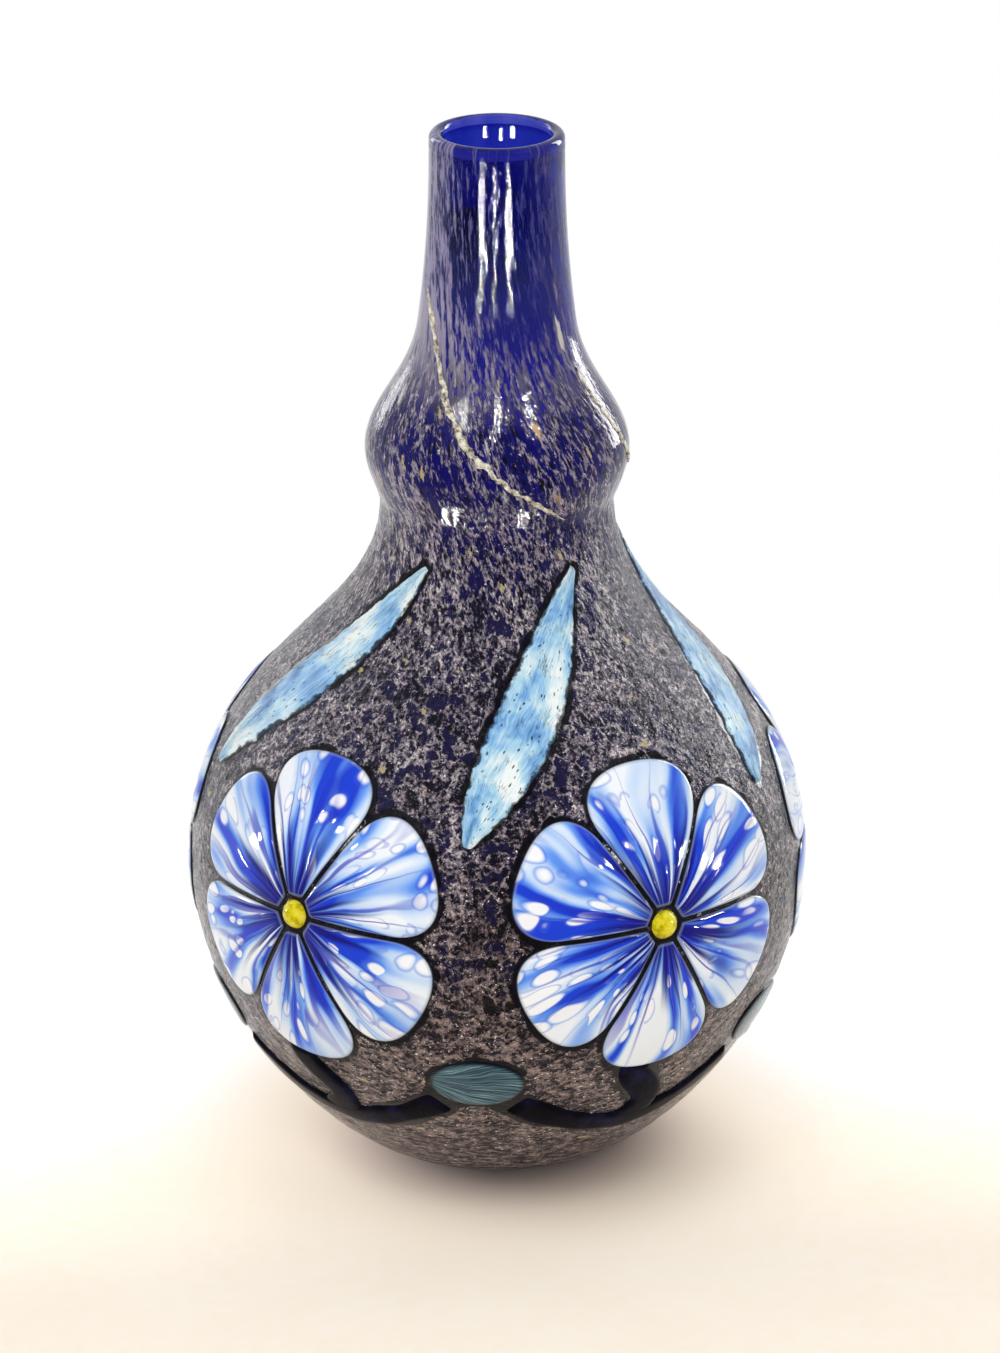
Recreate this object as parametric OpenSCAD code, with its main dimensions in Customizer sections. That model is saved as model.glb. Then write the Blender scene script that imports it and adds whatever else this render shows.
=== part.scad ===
// Blown glass bottle vase: a globe with a small bulb and a slim neck above it. The blue inner
// wall carries a thin speckled glass skin, and every glass ornament is fused on that skin: five
// rosettes of six petals round a bead, a festoon on stems below them with an oval at each
// joint, a slanting leaf above each oval, and two thin drawn canes on the bulb.
// The origin is the centre of the foot, +Z is up and the front is towards -Y.

/* [Vase form] */
// Radius of the flat foot
foot_r = 27; // [23:0.5:31]
// Radius of the globe at its widest ring
belly_r = 81.5; // [79:0.5:86]
// Height of the globe's widest ring
belly_z = 80; // [77:0.5:84]
// Radius of the waist between the globe and the bulb
waist_r = 30.5; // [28:0.5:33]
// Height from the globe's widest ring up to the waist
shoulder_h = 101; // [96:0.5:106]
// Radius of the bulb at its widest ring
bulb_r = 34.5; // [33.5:0.5:37]
// Height from the waist up to the bulb's widest ring
crown_h = 14; // [12:0.5:17]
// Radius of the neck where it leaves the bulb
neck_r = 20.5; // [19:0.5:22.5]
// Height from the bulb's widest ring up to where the neck leaves it
slope_h = 35; // [32:0.5:40]
// Radius of the neck just under the lip
lip_r = 17.5; // [16:0.5:19]
// Height from there up to the top of the lip
neck_h = 50; // [44:0.5:60]

/* [Glass walls] */
// Whole wall of the globe, skin and inner glass together
globe_wall = 5; // [4:0.25:6]
// Whole wall of the neck and the lip
lip_wall = 3.5; // [3:0.25:4]
// Thickness of the glass at the foot
foot_wall = 9; // [7:0.5:11]
// Thickness of the speckled skin
skin_t = 0.8; // [0.6:0.1:1.2]
// Height above the foot at which the skin starts
skin_foot_gap = 3.5; // [2.5:0.5:6]
// Distance below the lip's top at which the skin ends
skin_lip_gap = 3; // [2.5:0.5:8]

/* [Rosettes] */
// Radius of a rosette over its petals' tips
rosette_r = 41; // [37:0.5:42]
// Height of the rosettes' centres above the globe's widest ring
rosette_rise = 9; // [7:0.5:11]
// Turn of the first rosette from the front, in degrees
rosette_turn = -40; // [-60:1:0]
// Radius of the bead at a rosette's centre
bead_r = 3.8; // [3:0.1:4.6]
// How far the petals stand out of the skin
petal_proud = 1; // [0.6:0.1:1.4]
// Gap left between neighbouring ornaments
seam = 0.8; // [0.5:0.1:1.2]

/* [Festoon] */
// Width of the festoon's dark trail
trail_w = 8; // [6:0.5:10]
// Distance from a rosette's rim down to the middle of the trail under it
trail_drop = 21; // [19:0.5:23]
// How far the trail climbs from there to the middle of an oval
trail_rise = 19; // [17:0.5:21]
// Width of the stems that join the rosettes to the trail
stem_w = 9; // [6:0.5:11]
// How far the trail and the stems stand out of the skin
trail_proud = 0.9; // [0.6:0.1:1.2]
// Width of an oval at a joint of the festoon
oval_w = 25; // [21:0.5:27]
// Height of an oval, measured over the glass
oval_h = 17; // [14:0.5:19]
// How far the ovals stand out of the skin
oval_proud = 0.8; // [0.5:0.1:1.1]

/* [Leaves and canes] */
// Width of a leaf at its widest place
leaf_w = 17; // [13:0.5:18]
// Height of a leaf's lower tip above the rosettes' centres
leaf_lift = 23; // [20:0.5:27]
// Distance of a leaf's upper tip below the waist
leaf_gap = 10; // [8:0.5:16]
// How far the leaves stand out of the skin
leaf_proud = 0.8; // [0.5:0.1:1.1]
// Width of a drawn cane
cane_w = 1.6; // [1.2:0.1:2.2]
// How far the canes stand out of the skin
cane_proud = 0.5; // [0.3:0.1:0.8]

/* [Hidden] */
rosette_count = 5;
petal_count = 6;
rosette_step = 360 / rosette_count;
petal_step = 360 / petal_count;
function petal_name(i, p) = str("rosette_", i, "_petal_", p);
petal_names = [for (i = [1:rosette_count]) for (p = [1:petal_count]) petal_name(i, p)];
bead_names = [for (i = [1:rosette_count]) str("rosette_", i, "_bead")];
stem_names = [for (i = [1:rosette_count]) str("stem_", i)];
trail_names = [for (i = [1:rosette_count]) str("festoon_trail_", i)];
oval_names = [for (i = [1:rosette_count]) str("festoon_oval_", i)];
leaf_names = [for (i = [1:rosette_count]) str("shoulder_leaf_", i)];

body_colour = [0.05, 0.07, 0.42];
skin_colour = [0.40, 0.37, 0.45];
petal_colour = [0.66, 0.77, 0.96];
bead_colour = [0.90, 0.82, 0.16];
trail_colour = [0.04, 0.04, 0.08];
oval_colour = [0.26, 0.40, 0.46];
leaf_colour = [0.62, 0.83, 0.90];
cane_colour = [0.86, 0.83, 0.72];

// Heights above the foot, each worked out from the one before it
waist_z = belly_z + shoulder_h;
bulb_z = waist_z + crown_h;
neck_z = bulb_z + slope_h;
vase_h = neck_z + neck_h;
rosette_z = belly_z + rosette_rise;
trail_low_z = rosette_z - rosette_r - trail_drop;
oval_z = trail_low_z + trail_rise;
leaf_low_z = rosette_z + leaf_lift;
leaf_high_z = waist_z - leaf_gap;

// The heel leaves the foot almost flat, over this share of the way out to the globe
heel_run_share = 0.3;
heel_rise_share = 0.02;
// Handles of the curves, as shares of the height of their stretch
globe_low_share = 0.53;
globe_high_share = 0.55;
waist_low_share = 0.37;
waist_high_share = 0.12;
bulb_low_share = 0.36;
bulb_high_share = 0.33;
neck_low_share = 0.45;
neck_high_share = 0.33;
lip_low_share = 0.4;
neck_slope_share = 0.13;
lip_round = lip_wall / 2;
lip_steps = 8;

// Each stretch is a cubic curve of [radius, height] points
stretches = [
    [
        [foot_r, 0],
        [foot_r + (belly_r - foot_r) * heel_run_share, belly_z * heel_rise_share],
        [belly_r, belly_z * (1 - globe_low_share)],
        [belly_r, belly_z]
    ],
    [
        [belly_r, belly_z],
        [belly_r, belly_z + shoulder_h * globe_high_share],
        [waist_r, waist_z - shoulder_h * waist_low_share],
        [waist_r, waist_z]
    ],
    [
        [waist_r, waist_z],
        [waist_r, waist_z + crown_h * waist_high_share],
        [bulb_r, bulb_z - crown_h * bulb_low_share],
        [bulb_r, bulb_z]
    ],
    [
        [bulb_r, bulb_z],
        [bulb_r, bulb_z + slope_h * bulb_high_share],
        [neck_r + slope_h * neck_low_share * neck_slope_share, neck_z - slope_h * neck_low_share],
        [neck_r, neck_z]
    ],
    [
        [neck_r, neck_z],
        [neck_r - neck_h * neck_high_share * neck_slope_share, neck_z + neck_h * neck_high_share],
        [lip_r, vase_h - neck_h * lip_low_share],
        [lip_r, vase_h - lip_round]
    ]
];
stretch_steps = [18, 18, 6, 10, 8];

function curve_point(c, t) =
    pow(1 - t, 3) * c[0] + 3 * pow(1 - t, 2) * t * c[1] + 3 * (1 - t) * t * t * c[2] + pow(t, 3) * c[3];
function curve_slope(c, t) =
    pow(1 - t, 2) * (c[1] - c[0]) + 2 * (1 - t) * t * (c[2] - c[1]) + t * t * (c[3] - c[2]);
function curve_outward(c, t) = let (s = curve_slope(c, t)) [s[1], -s[0]] / norm(s);

// Stations up the outer surface, each with its point and its outward direction
stations = [
    for (s = [0:len(stretches) - 1])
        for (k = [(s == 0 ? 0 : 1):stretch_steps[s]])
            let (t = k / stretch_steps[s])
                [curve_point(stretches[s], t), curve_outward(stretches[s], t)]
];
last = len(stations) - 1;
function at(k, out) = stations[k][0] + out * stations[k][1];
function height(k) = stations[min(max(k, 0), last)][0][1];
// The stations that span two heights, with the next one past each
function spanning(low_z, high_z) = [
    for (k = [0:last])
        if (height(k + 1) > low_z && height(k - 1) < high_z) k
];
function run(ks, out) = [for (k = ks) at(k, out)];
function backwards(list) = [for (i = [len(list) - 1:-1:0]) list[i]];

radius_table = [for (s = stations) [s[0][1], s[0][0]]];
outward_table = [for (s = stations) [s[0][1], atan2(-s[1][1], s[1][0])]];
function radius_at(z) = lookup(z, radius_table);
function tilt_at(z) = -lookup(z, outward_table);

// The whole wall, thick at the foot and thinning evenly from the globe to the neck
function wall_at(z) =
    z < belly_z ? globe_wall + (foot_wall - globe_wall) * pow(1 - z / belly_z, 2)
    : z > neck_z ? lip_wall
    : globe_wall + (lip_wall - globe_wall) * (z - belly_z) / (neck_z - belly_z);

skin_ks = spanning(skin_foot_gap, vase_h - skin_lip_gap);
skin_first = skin_ks[0];
skin_last = skin_ks[len(skin_ks) - 1];
lip_arc = [
    for (k = [1:lip_steps - 1])
        let (a = 180 * k / lip_steps)
            [lip_r - lip_round + lip_round * cos(a), vase_h - lip_round + lip_round * sin(a)]
];
cavity_wall = [for (k = [last:-1:0]) at(k, -wall_at(stations[k][0][1]))];

// Spare depth of the prisms that cut the ornaments out of their layer
prism_in = belly_r / 2;
prism_out = belly_r / 8;

module revolved(points) {
    rotate_extrude($fn = 240) polygon(points);
}

// A layer of glass on the skin between two heights
module layer(low_z, high_z, proud) {
    ks = spanning(low_z, high_z);
    revolved(concat(run(ks, 0), backwards(run(ks, proud))));
}

// Stands a flat outline on the surface at a place and runs it through the glass there
module prism(azimuth, z, tilt) {
    rotate([0, 0, azimuth])
        translate([0, -radius_at(z), z])
            rotate([90 - tilt, 0, 0])
                translate([0, 0, -prism_in])
                    linear_extrude(height = prism_in + prism_out)
                        children();
}

// A point given as [azimuth, height] on the surface, seen in the flat frame of a prism
function flat_point(azimuth, z, tilt, p) =
    let (r = radius_at(p[1]))
        [
            r * sin(p[0] - azimuth),
            (radius_at(z) - r * cos(p[0] - azimuth)) * sin(tilt) + (p[1] - z) * cos(tilt)
        ];

// The outline of a ribbon along flat points, with a half width for each
function ribbon(points, halves) =
    let (
        n = len(points) - 1,
        along = [for (k = [0:n]) points[min(k + 1, n)] - points[max(k - 1, 0)]],
        side = [for (a = along) [-a[1], a[0]] / norm(a)]
    )
        concat(
            [for (k = [0:n]) points[k] + side[k] * halves[k]],
            [for (k = [n:-1:0]) points[k] - side[k] * halves[k]]
        );

module glass_body() {
    color(body_colour)
        revolved(concat(
            [[0, 0]],
            run([0:skin_first], 0),
            run([skin_first:skin_last], -skin_t),
            run([skin_last:last], 0),
            lip_arc,
            cavity_wall,
            [[0, foot_wall]]
        ));
}

module speckled_skin() {
    color(skin_colour)
        revolved(concat(
            run([skin_first:skin_last], 0),
            backwards(run([skin_first:skin_last], -skin_t))
        ));
}

// Azimuths of the rosettes, and of the joints of the festoon halfway between them
function rosette_azimuth(i) = rosette_turn + rosette_step * (i - 1);
function joint_azimuth(i) = rosette_azimuth(i) + rosette_step / 2;

// One petal, from the bead's edge out to its round tip, along +X
petal_in = bead_r + seam;
petal_bend_share = 0.6;
petal_side_share = 0.26;
petal_tip_share = 0.34;
petal_curve_steps = 8;
petal_half = petal_step / 2;
petal_bend_x = rosette_r * petal_bend_share;
function petal_edge(x) = x * tan(petal_half) - seam / 2 / cos(petal_half);
petal_curve = [
    [petal_bend_x, petal_edge(petal_bend_x)],
    [petal_bend_x, petal_edge(petal_bend_x)]
        + rosette_r * petal_side_share * [cos(petal_half), sin(petal_half)],
    [rosette_r, rosette_r * petal_tip_share],
    [rosette_r, 0]
];
petal_upper = concat(
    [[petal_in, petal_edge(petal_in)]],
    [for (k = [0:petal_curve_steps]) curve_point(petal_curve, k / petal_curve_steps)]
);
petal_lower = [for (k = [len(petal_upper) - 2:-1:0]) [petal_upper[k][0], -petal_upper[k][1]]];

module rosette_layer(proud) {
    layer(rosette_z - rosette_r, rosette_z + rosette_r, proud);
}

module rosette_prism(i) {
    prism(rosette_azimuth(i), rosette_z, tilt_at(rosette_z)) children();
}

module rosette_petal(i, p) {
    color(petal_colour)
        intersection() {
            rosette_layer(petal_proud);
            rosette_prism(i)
                rotate(petal_step * (p - 0.5))
                    polygon(concat(petal_upper, petal_lower));
        }
}

// The bead is a dome on the skin, the cap of a ball sunk under it
bead_sink_share = 0.4;
bead_sink = bead_r * bead_sink_share;
bead_ball_r = norm([bead_r, bead_sink]);

module rosette_bead(i) {
    color(bead_colour)
        intersection() {
            rosette_layer(bead_r);
            rotate([0, 0, rosette_azimuth(i)])
                translate([0, -radius_at(rosette_z), rosette_z])
                    rotate([90 - tilt_at(rosette_z), 0, 0])
                        translate([0, 0, -bead_sink])
                            sphere(r = bead_ball_r, $fn = 120);
        }
}

// An oval's outline at a joint, grown by a margin
oval_steps = 24;
module oval_prism(i, margin) {
    prism(joint_azimuth(i), oval_z, tilt_at(oval_z))
        polygon([
            for (k = [0:oval_steps - 1])
                let (a = 360 * k / oval_steps)
                    [(oval_w / 2 + margin) * cos(a), (oval_h / 2 + margin) * sin(a)]
        ]);
}

module festoon_oval(i) {
    color(oval_colour)
        intersection() {
            layer(oval_z - oval_h, oval_z + oval_h, oval_proud);
            oval_prism(i, 0);
        }
}

// The trail under rosette i hangs from the middle of one oval to the middle of the next
trail_z = (trail_low_z + oval_z) / 2;
trail_steps = 16;
trail_half_angle = rosette_step / 2;
function trail_line(i) = [
    for (k = [0:trail_steps])
        let (s = 2 * k / trail_steps - 1)
            flat_point(
                rosette_azimuth(i), trail_z, tilt_at(trail_z),
                [rosette_azimuth(i) + trail_half_angle * s, trail_low_z + (oval_z - trail_low_z) * s * s]
            )
];

module trail_prism(i, margin) {
    prism(rosette_azimuth(i), trail_z, tilt_at(trail_z))
        polygon(ribbon(trail_line(i), [for (k = [0:trail_steps]) trail_w / 2 + margin]));
}

module trail_layer() {
    layer(trail_low_z - trail_w, oval_z + oval_h, trail_proud);
}

module festoon_trail(i) {
    color(trail_colour)
        difference() {
            intersection() {
                trail_layer();
                trail_prism(i, 0);
            }
            oval_prism(i, seam);
            oval_prism(i - 1, seam);
        }
}

// A stem runs from under its rosette down to the trail, in a slight bow
stem_steps = 8;
stem_bow_share = 0.5;
stem_top_z = rosette_z - rosette_r * cos(petal_half);
function stem_line(i) = [
    for (k = [0:stem_steps])
        let (
            s = k / stem_steps,
            z = trail_low_z + (stem_top_z - trail_low_z) * s,
            bow = stem_w * stem_bow_share * sin(360 * s),
            turn = bow / belly_r * 180 / PI
        )
            flat_point(rosette_azimuth(i), trail_z, tilt_at(trail_z), [rosette_azimuth(i) + turn, z])
];

module festoon_stem(i) {
    color(trail_colour)
        difference() {
            intersection() {
                layer(trail_low_z - stem_w, rosette_z, trail_proud);
                prism(rosette_azimuth(i), trail_z, tilt_at(trail_z))
                    polygon(ribbon(stem_line(i), [for (k = [0:stem_steps]) stem_w / 2]));
            }
            rosette_prism(i) circle(r = rosette_r + seam, $fn = 64);
            trail_prism(i, seam);
        }
}

// A leaf climbs from between two rosettes to the waist, slanting to the right
leaf_low_turn = -2;
leaf_high_turn = 42;
leaf_z = (leaf_low_z + leaf_high_z) / 2;
leaf_steps = 14;
leaf_tip_share = 0.06;
leaf_bow_turn = 5;
leaf_skew_share = 0.8;
function leaf_line(i) = [
    for (k = [0:leaf_steps])
        let (
            s = k / leaf_steps,
            turn = leaf_low_turn + (leaf_high_turn - leaf_low_turn) * s * s + leaf_bow_turn * sin(180 * s)
        )
            flat_point(
                leaf_azimuth(i), leaf_z, tilt_at(leaf_z),
                [joint_azimuth(i) + turn, leaf_low_z + (leaf_high_z - leaf_low_z) * s]
            )
];
function leaf_azimuth(i) = joint_azimuth(i) + (leaf_low_turn + leaf_high_turn) / 2;
leaf_halves = [
    for (k = [0:leaf_steps])
        let (s = k / leaf_steps)
            leaf_w / 2 * (leaf_tip_share + (1 - leaf_tip_share) * sin(180 * pow(s, leaf_skew_share)))
];

module shoulder_leaf(i) {
    color(leaf_colour)
        intersection() {
            layer(leaf_low_z - leaf_w / 2, leaf_high_z + leaf_w / 2, leaf_proud);
            prism(leaf_azimuth(i), leaf_z, tilt_at(leaf_z))
                polygon(ribbon(leaf_line(i), leaf_halves));
        }
}

// The canes wind over the bulb. Each row gives two places, as a turn from the front in
// degrees and a share of the height from the waist to the neck.
cane_shares = [
    [[-66, 1.22], [33, 0.06]],
    [[60, 0.8], [88, 0.2]]
];
cane_steps = 40;
// Keeps a cane's flat facets off the round skin
cane_clear = 0.08;
cane_sag_share = 0.12;
function cane_place(c, s) =
    let (
        turn = c[0][0] + (c[1][0] - c[0][0]) * s,
        share = c[0][1] + (c[1][1] - c[0][1]) * s - cane_sag_share * sin(180 * s)
    )
        [turn, waist_z + (neck_z - waist_z) * share];
function on_surface(p, out) =
    let (r = radius_at(p[1]) + out)
        [r * sin(p[0]), -r * cos(p[0]), p[1]];
function arc_per_turn(z) = radius_at(z) * PI / 180;
// Six points round a cane, half of them on the glass, square to the way that it runs
function cane_ring(c, k) =
    let (
        s = k / cane_steps,
        place = cane_place(c, s),
        arc = arc_per_turn(place[1]),
        ahead = cane_place(c, s + 1 / cane_steps) - cane_place(c, s - 1 / cane_steps),
        along = [ahead[0] * arc, ahead[1]] / norm([ahead[0] * arc, ahead[1]]),
        half = cane_w / 2 * sqrt(sin(180 * (k + 1) / (cane_steps + 2))),
        low = place - half * [-along[1] / arc, along[0]],
        high = place + half * [-along[1] / arc, along[0]]
    )
        [
            on_surface(low, cane_clear), on_surface(place, cane_clear), on_surface(high, cane_clear),
            on_surface(high, cane_proud / 2), on_surface(place, cane_proud), on_surface(low, cane_proud / 2)
        ];
ring_n = 6;

module cane(c) {
    points = [for (k = [0:cane_steps]) for (q = cane_ring(c, k)) q];
    sides = [
        for (k = [0:cane_steps - 1]) for (j = [0:ring_n - 1])
            let (a = k * ring_n, b = a + ring_n, n = (j + 1) % ring_n)
                [a + j, a + n, b + n, b + j]
    ];
    first_end = [for (j = [ring_n - 1:-1:0]) j];
    last_end = [for (j = [0:ring_n - 1]) cane_steps * ring_n + j];
    polyhedron(points = points, faces = concat([first_end, last_end], sides));
}

module drawn_canes() {
    color(cane_colour)
        for (c = cane_shares) cane(c);
}

glass_body();
speckled_skin();
for (i = [1:rosette_count]) {
    for (p = [1:petal_count]) {
        rosette_petal(i, p);
    }
    rosette_bead(i);
    festoon_stem(i);
    festoon_trail(i);
    festoon_oval(i);
    shoulder_leaf(i);
}
drawn_canes();
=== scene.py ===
import math

import bpy
import numpy as np
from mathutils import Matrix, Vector, noise


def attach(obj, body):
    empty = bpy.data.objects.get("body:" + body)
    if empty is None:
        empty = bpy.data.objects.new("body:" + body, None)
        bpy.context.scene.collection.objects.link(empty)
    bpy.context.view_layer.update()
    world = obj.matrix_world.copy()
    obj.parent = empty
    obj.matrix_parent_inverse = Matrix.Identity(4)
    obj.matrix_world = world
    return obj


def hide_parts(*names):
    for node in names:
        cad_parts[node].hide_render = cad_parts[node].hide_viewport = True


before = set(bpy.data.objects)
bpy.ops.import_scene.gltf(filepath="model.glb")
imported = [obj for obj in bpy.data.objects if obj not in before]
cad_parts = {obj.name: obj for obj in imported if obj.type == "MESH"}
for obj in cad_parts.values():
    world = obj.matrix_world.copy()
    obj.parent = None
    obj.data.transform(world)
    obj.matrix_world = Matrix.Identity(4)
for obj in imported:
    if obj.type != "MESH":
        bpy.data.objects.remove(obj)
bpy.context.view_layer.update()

MM = 0.001

# Driving sizes of the vase, as the part has them
VASE_H = 280 * MM
FOOT_R = 27 * MM
BELLY_R = 81.5 * MM
BELLY_Z = 80 * MM
WAIST_R = 30.5 * MM
WAIST_Z = 181 * MM
BULB_R = 34.5 * MM
BULB_Z = 195 * MM
NECK_R = 20.5 * MM
NECK_Z = 230 * MM
LIP_R = 17.5 * MM
GLOBE_WALL = 5 * MM
LIP_WALL = 3.5 * MM
FOOT_WALL = 9 * MM
SKIN_T = 0.8 * MM
SKIN_FOOT_GAP = 3.5 * MM
SKIN_LIP_GAP = 3 * MM
ROSETTE_R = 41 * MM
ROSETTE_Z = 89 * MM
ROSETTE_TURN = -40
BEAD_R = 3.8 * MM
BEAD_SINK = BEAD_R * 0.4
PETAL_PROUD = 1 * MM
SEAM = 0.8 * MM
TRAIL_W = 8 * MM
TRAIL_LOW_Z = 27 * MM
STEM_W = 9 * MM
TRAIL_PROUD = 0.9 * MM
OVAL_W = 25 * MM
OVAL_H = 17 * MM
OVAL_Z = 46 * MM
OVAL_PROUD = 0.8 * MM
LEAF_W = 17 * MM
LEAF_LOW_Z = 112 * MM
LEAF_HIGH_Z = 171 * MM
LEAF_PROUD = 0.8 * MM
CANE_W = 1.6 * MM
CANE_PROUD = 0.5 * MM
ROSETTES = 5
PETALS = 6
STEP = 360 / ROSETTES
PETAL_HALF = math.radians(180 / PETALS)

# Bends of the outlines, as the part has them
PETAL_BEND, PETAL_SIDE, PETAL_TIP = 0.6, 0.26, 0.34
STEM_BOW = 0.5
STEM_TOP_Z = ROSETTE_Z - ROSETTE_R * math.cos(PETAL_HALF)
LEAF_TIP, LEAF_SKEW = 0.06, 0.8
# Turns of a leaf's ends from the joint below it, and how far it bows out between them, in degrees
LEAF_LOW_TURN, LEAF_HIGH_TURN, LEAF_BOW = -2, 42, 5
# Turn and height share of each end of a cane, and how much broader it is near its first end
CANES = (
    ((-66, 1.22), (33, 0.06), 1.1),
    ((60, 0.8), (88, 0.2), 0.0),
)
CANE_SAG = 0.12

# Hairline between two clear shells, so that light leaves one before it enters the next
HAIRLINE = 0.04 * MM
# How deep an ornament's rim is sunk into the skin
SINK = 0.35 * MM
# How far the black glass reaches out round an ornament, and before and behind its flat frame
HALO = 3.2 * MM
HALO_DEEP = 30 * MM
# Height of the skin's lumps, reach of its pits in spacings of the pits, and how many there are in a metre
LUMP = 0.3 * MM
PIT_R = 0.34
LUMPS_PER_M, PITS_PER_M = 330, 210
# Share of the skin's thickness that its upper edge loses, and over which width
FEATHER = 0.92
FEATHER_W = 6 * MM
# Distances from the skin's edges: of its closest rings, of its full lumps and of the bare wall's first ring
EDGE_RINGS = np.array([0.03, 0.2]) * MM
EDGE_W = 3 * MM
BARE_RING = 0.5 * MM
# Height of the low swell on petals and ovals, and how many swells there are in a metre
PETAL_SWELL = 0.22 * MM, 110
OVAL_SWELL = 0.12 * MM, 160
# How far a trail runs in under an oval, and how far a cane wanders aside
TUCK = 2 * MM
WANDER = 0.9 * MM
# Heights between which the frit's grain is drawn out up the neck, and between which it is twisted
DRAWN = 130 * MM, 230 * MM
TWISTED = 140 * MM, 280 * MM
# The twist in radians. The side where the streaks lie close turns by half of it.
TWIST = 0.9
# Heights up to which the grain is short along the heel, and drawn out round it
HEEL_SHORT, HEEL_LONG = 50 * MM, 70 * MM
# Heights between which the streaks end at the lip's back
BARE_BACK = 252 * MM, 273 * MM
# Rows of the blown wall under the skin, and of its inner face
WALL_ROWS = 170
# Where the surface is looked for along an ornament's axis, and the halvings of that stretch
ONTO_LOW, ONTO_HIGH = -45 * MM, 20 * MM
ONTO_ROUNDS = 34

# The photo's camera, fitted to the vase's outline
SENSOR = 36
FRAME_W, FRAME_H = 1000, 1353
FOCAL_PX = 6312
CAMERA_AWAY = 1.55
CAMERA_Z = 0.742
CAMERA_PITCH = 21.54
AXIS_PX = 497

# Share of a plain glass surface's shine that these glasses keep, so that the dark ones stay dark
SHINE = (0.1, 0.1, 0.1)
SOFT_SHINE = (0.2, 0.2, 0.2)
WHITE = (1, 1, 1)
# Strength of the world's light, where it looks white at a strength of 1
WORLD_LIGHT = 0.656

# Rows of glints. For each one the turn and height of the place that mirrors it, and the lamp's width.
# Then, for the whole row, the lamps' distance, height and radiance, their reach in degrees, and how far
# the mirroring surface lies under the outer one. Lengths are in mm.
GLINTS = {
    "mouth": (((163, 276, 1.2), (176, 275, 0.5), (193, 276, 1)), 15, 4, 600, 16, 3.5),
    "neck": (((-12, 258, 8), (-1.5, 258, 4), (10, 258, 8)), 100, 18, 800, 9.5, 0),
    "bulb": (((-18, 212, 9), (1, 210, 9), (18, 211, 9)), 120, 4, 1200, 9.5, 0),
    "waist": (((-20, 187, 20), (-3, 187, 20), (14, 187, 20)), 80, 1, 2600, 7, 0),
    "petal": (((-52, 104, 22), (-31, 112, 22), (24, 109, 22), (43, 102, 22)), 150, 14, 420, 9.5, 0),
}


# The vase's profile

SHOULDER_H = WAIST_Z - BELLY_Z
CROWN_H = BULB_Z - WAIST_Z
SLOPE_H = NECK_Z - BULB_Z
NECK_H = VASE_H - NECK_Z
HEEL_RUN, HEEL_RISE = 0.3, 0.02
GLOBE_LOW, GLOBE_HIGH = 0.53, 0.55
WAIST_LOW, WAIST_HIGH = 0.37, 0.12
BULB_LOW, BULB_HIGH = 0.36, 0.33
NECK_LOW, NECK_HIGH, NECK_SLOPE = 0.45, 0.33, 0.13
LIP_LOW = 0.4
STRETCHES = np.array([
    [[FOOT_R, 0], [FOOT_R + (BELLY_R - FOOT_R) * HEEL_RUN, BELLY_Z * HEEL_RISE],
     [BELLY_R, BELLY_Z * (1 - GLOBE_LOW)], [BELLY_R, BELLY_Z]],
    [[BELLY_R, BELLY_Z], [BELLY_R, BELLY_Z + SHOULDER_H * GLOBE_HIGH],
     [WAIST_R, WAIST_Z - SHOULDER_H * WAIST_LOW], [WAIST_R, WAIST_Z]],
    [[WAIST_R, WAIST_Z], [WAIST_R, WAIST_Z + CROWN_H * WAIST_HIGH],
     [BULB_R, BULB_Z - CROWN_H * BULB_LOW], [BULB_R, BULB_Z]],
    [[BULB_R, BULB_Z], [BULB_R, BULB_Z + SLOPE_H * BULB_HIGH],
     [NECK_R + SLOPE_H * NECK_LOW * NECK_SLOPE, NECK_Z - SLOPE_H * NECK_LOW], [NECK_R, NECK_Z]],
    [[NECK_R, NECK_Z], [NECK_R - NECK_H * NECK_HIGH * NECK_SLOPE, NECK_Z + NECK_H * NECK_HIGH],
     [LIP_R, VASE_H - NECK_H * LIP_LOW], [LIP_R, VASE_H - LIP_WALL / 2]],
])


def bezier(c, t):
    t = np.asarray(t)[..., None]
    return (1 - t) ** 3 * c[0] + 3 * (1 - t) ** 2 * t * c[1] + 3 * (1 - t) * t ** 2 * c[2] + t ** 3 * c[3]


def bezier_slope(c, t):
    t = np.asarray(t)[..., None]
    return (1 - t) ** 2 * (c[1] - c[0]) + 2 * (1 - t) * t * (c[2] - c[1]) + t ** 2 * (c[3] - c[2])


def profile_table(samples=160):
    """Arc length, radius, height and outward direction all the way up the outer surface."""
    t = np.linspace(0, 1, samples)
    points, slopes = (np.concatenate([curve(c, t[(k > 0):]) for k, c in enumerate(STRETCHES)])
                      for curve in (bezier, bezier_slope))
    slopes /= np.linalg.norm(slopes, axis=1)[:, None]
    steps = np.linalg.norm(np.diff(points, axis=0), axis=1)
    arc = np.concatenate([[0], np.cumsum(steps)])
    return arc, points[:, 0], points[:, 1], slopes[:, 1], -slopes[:, 0]


ARC, RAD, HGT, OUT_R, OUT_Z = profile_table()


def radius_at(z):
    return np.interp(z, HGT, RAD)


def arc_at(z):
    return np.interp(z, HGT, ARC)


def tilt_at(z):
    return math.atan2(np.interp(z, HGT, OUT_Z), np.interp(z, HGT, OUT_R))


def wall_at(z):
    low = GLOBE_WALL + (FOOT_WALL - GLOBE_WALL) * np.clip(1 - z / BELLY_Z, 0, 1) ** 2
    share = np.clip((z - BELLY_Z) / (NECK_Z - BELLY_Z), 0, 1)
    return np.where(z < BELLY_Z, low, GLOBE_WALL + (LIP_WALL - GLOBE_WALL) * share)


def smooth(x, low, high):
    s = np.clip((x - low) / (high - low), 0, 1)
    return s * s * (3 - 2 * s)


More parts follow.
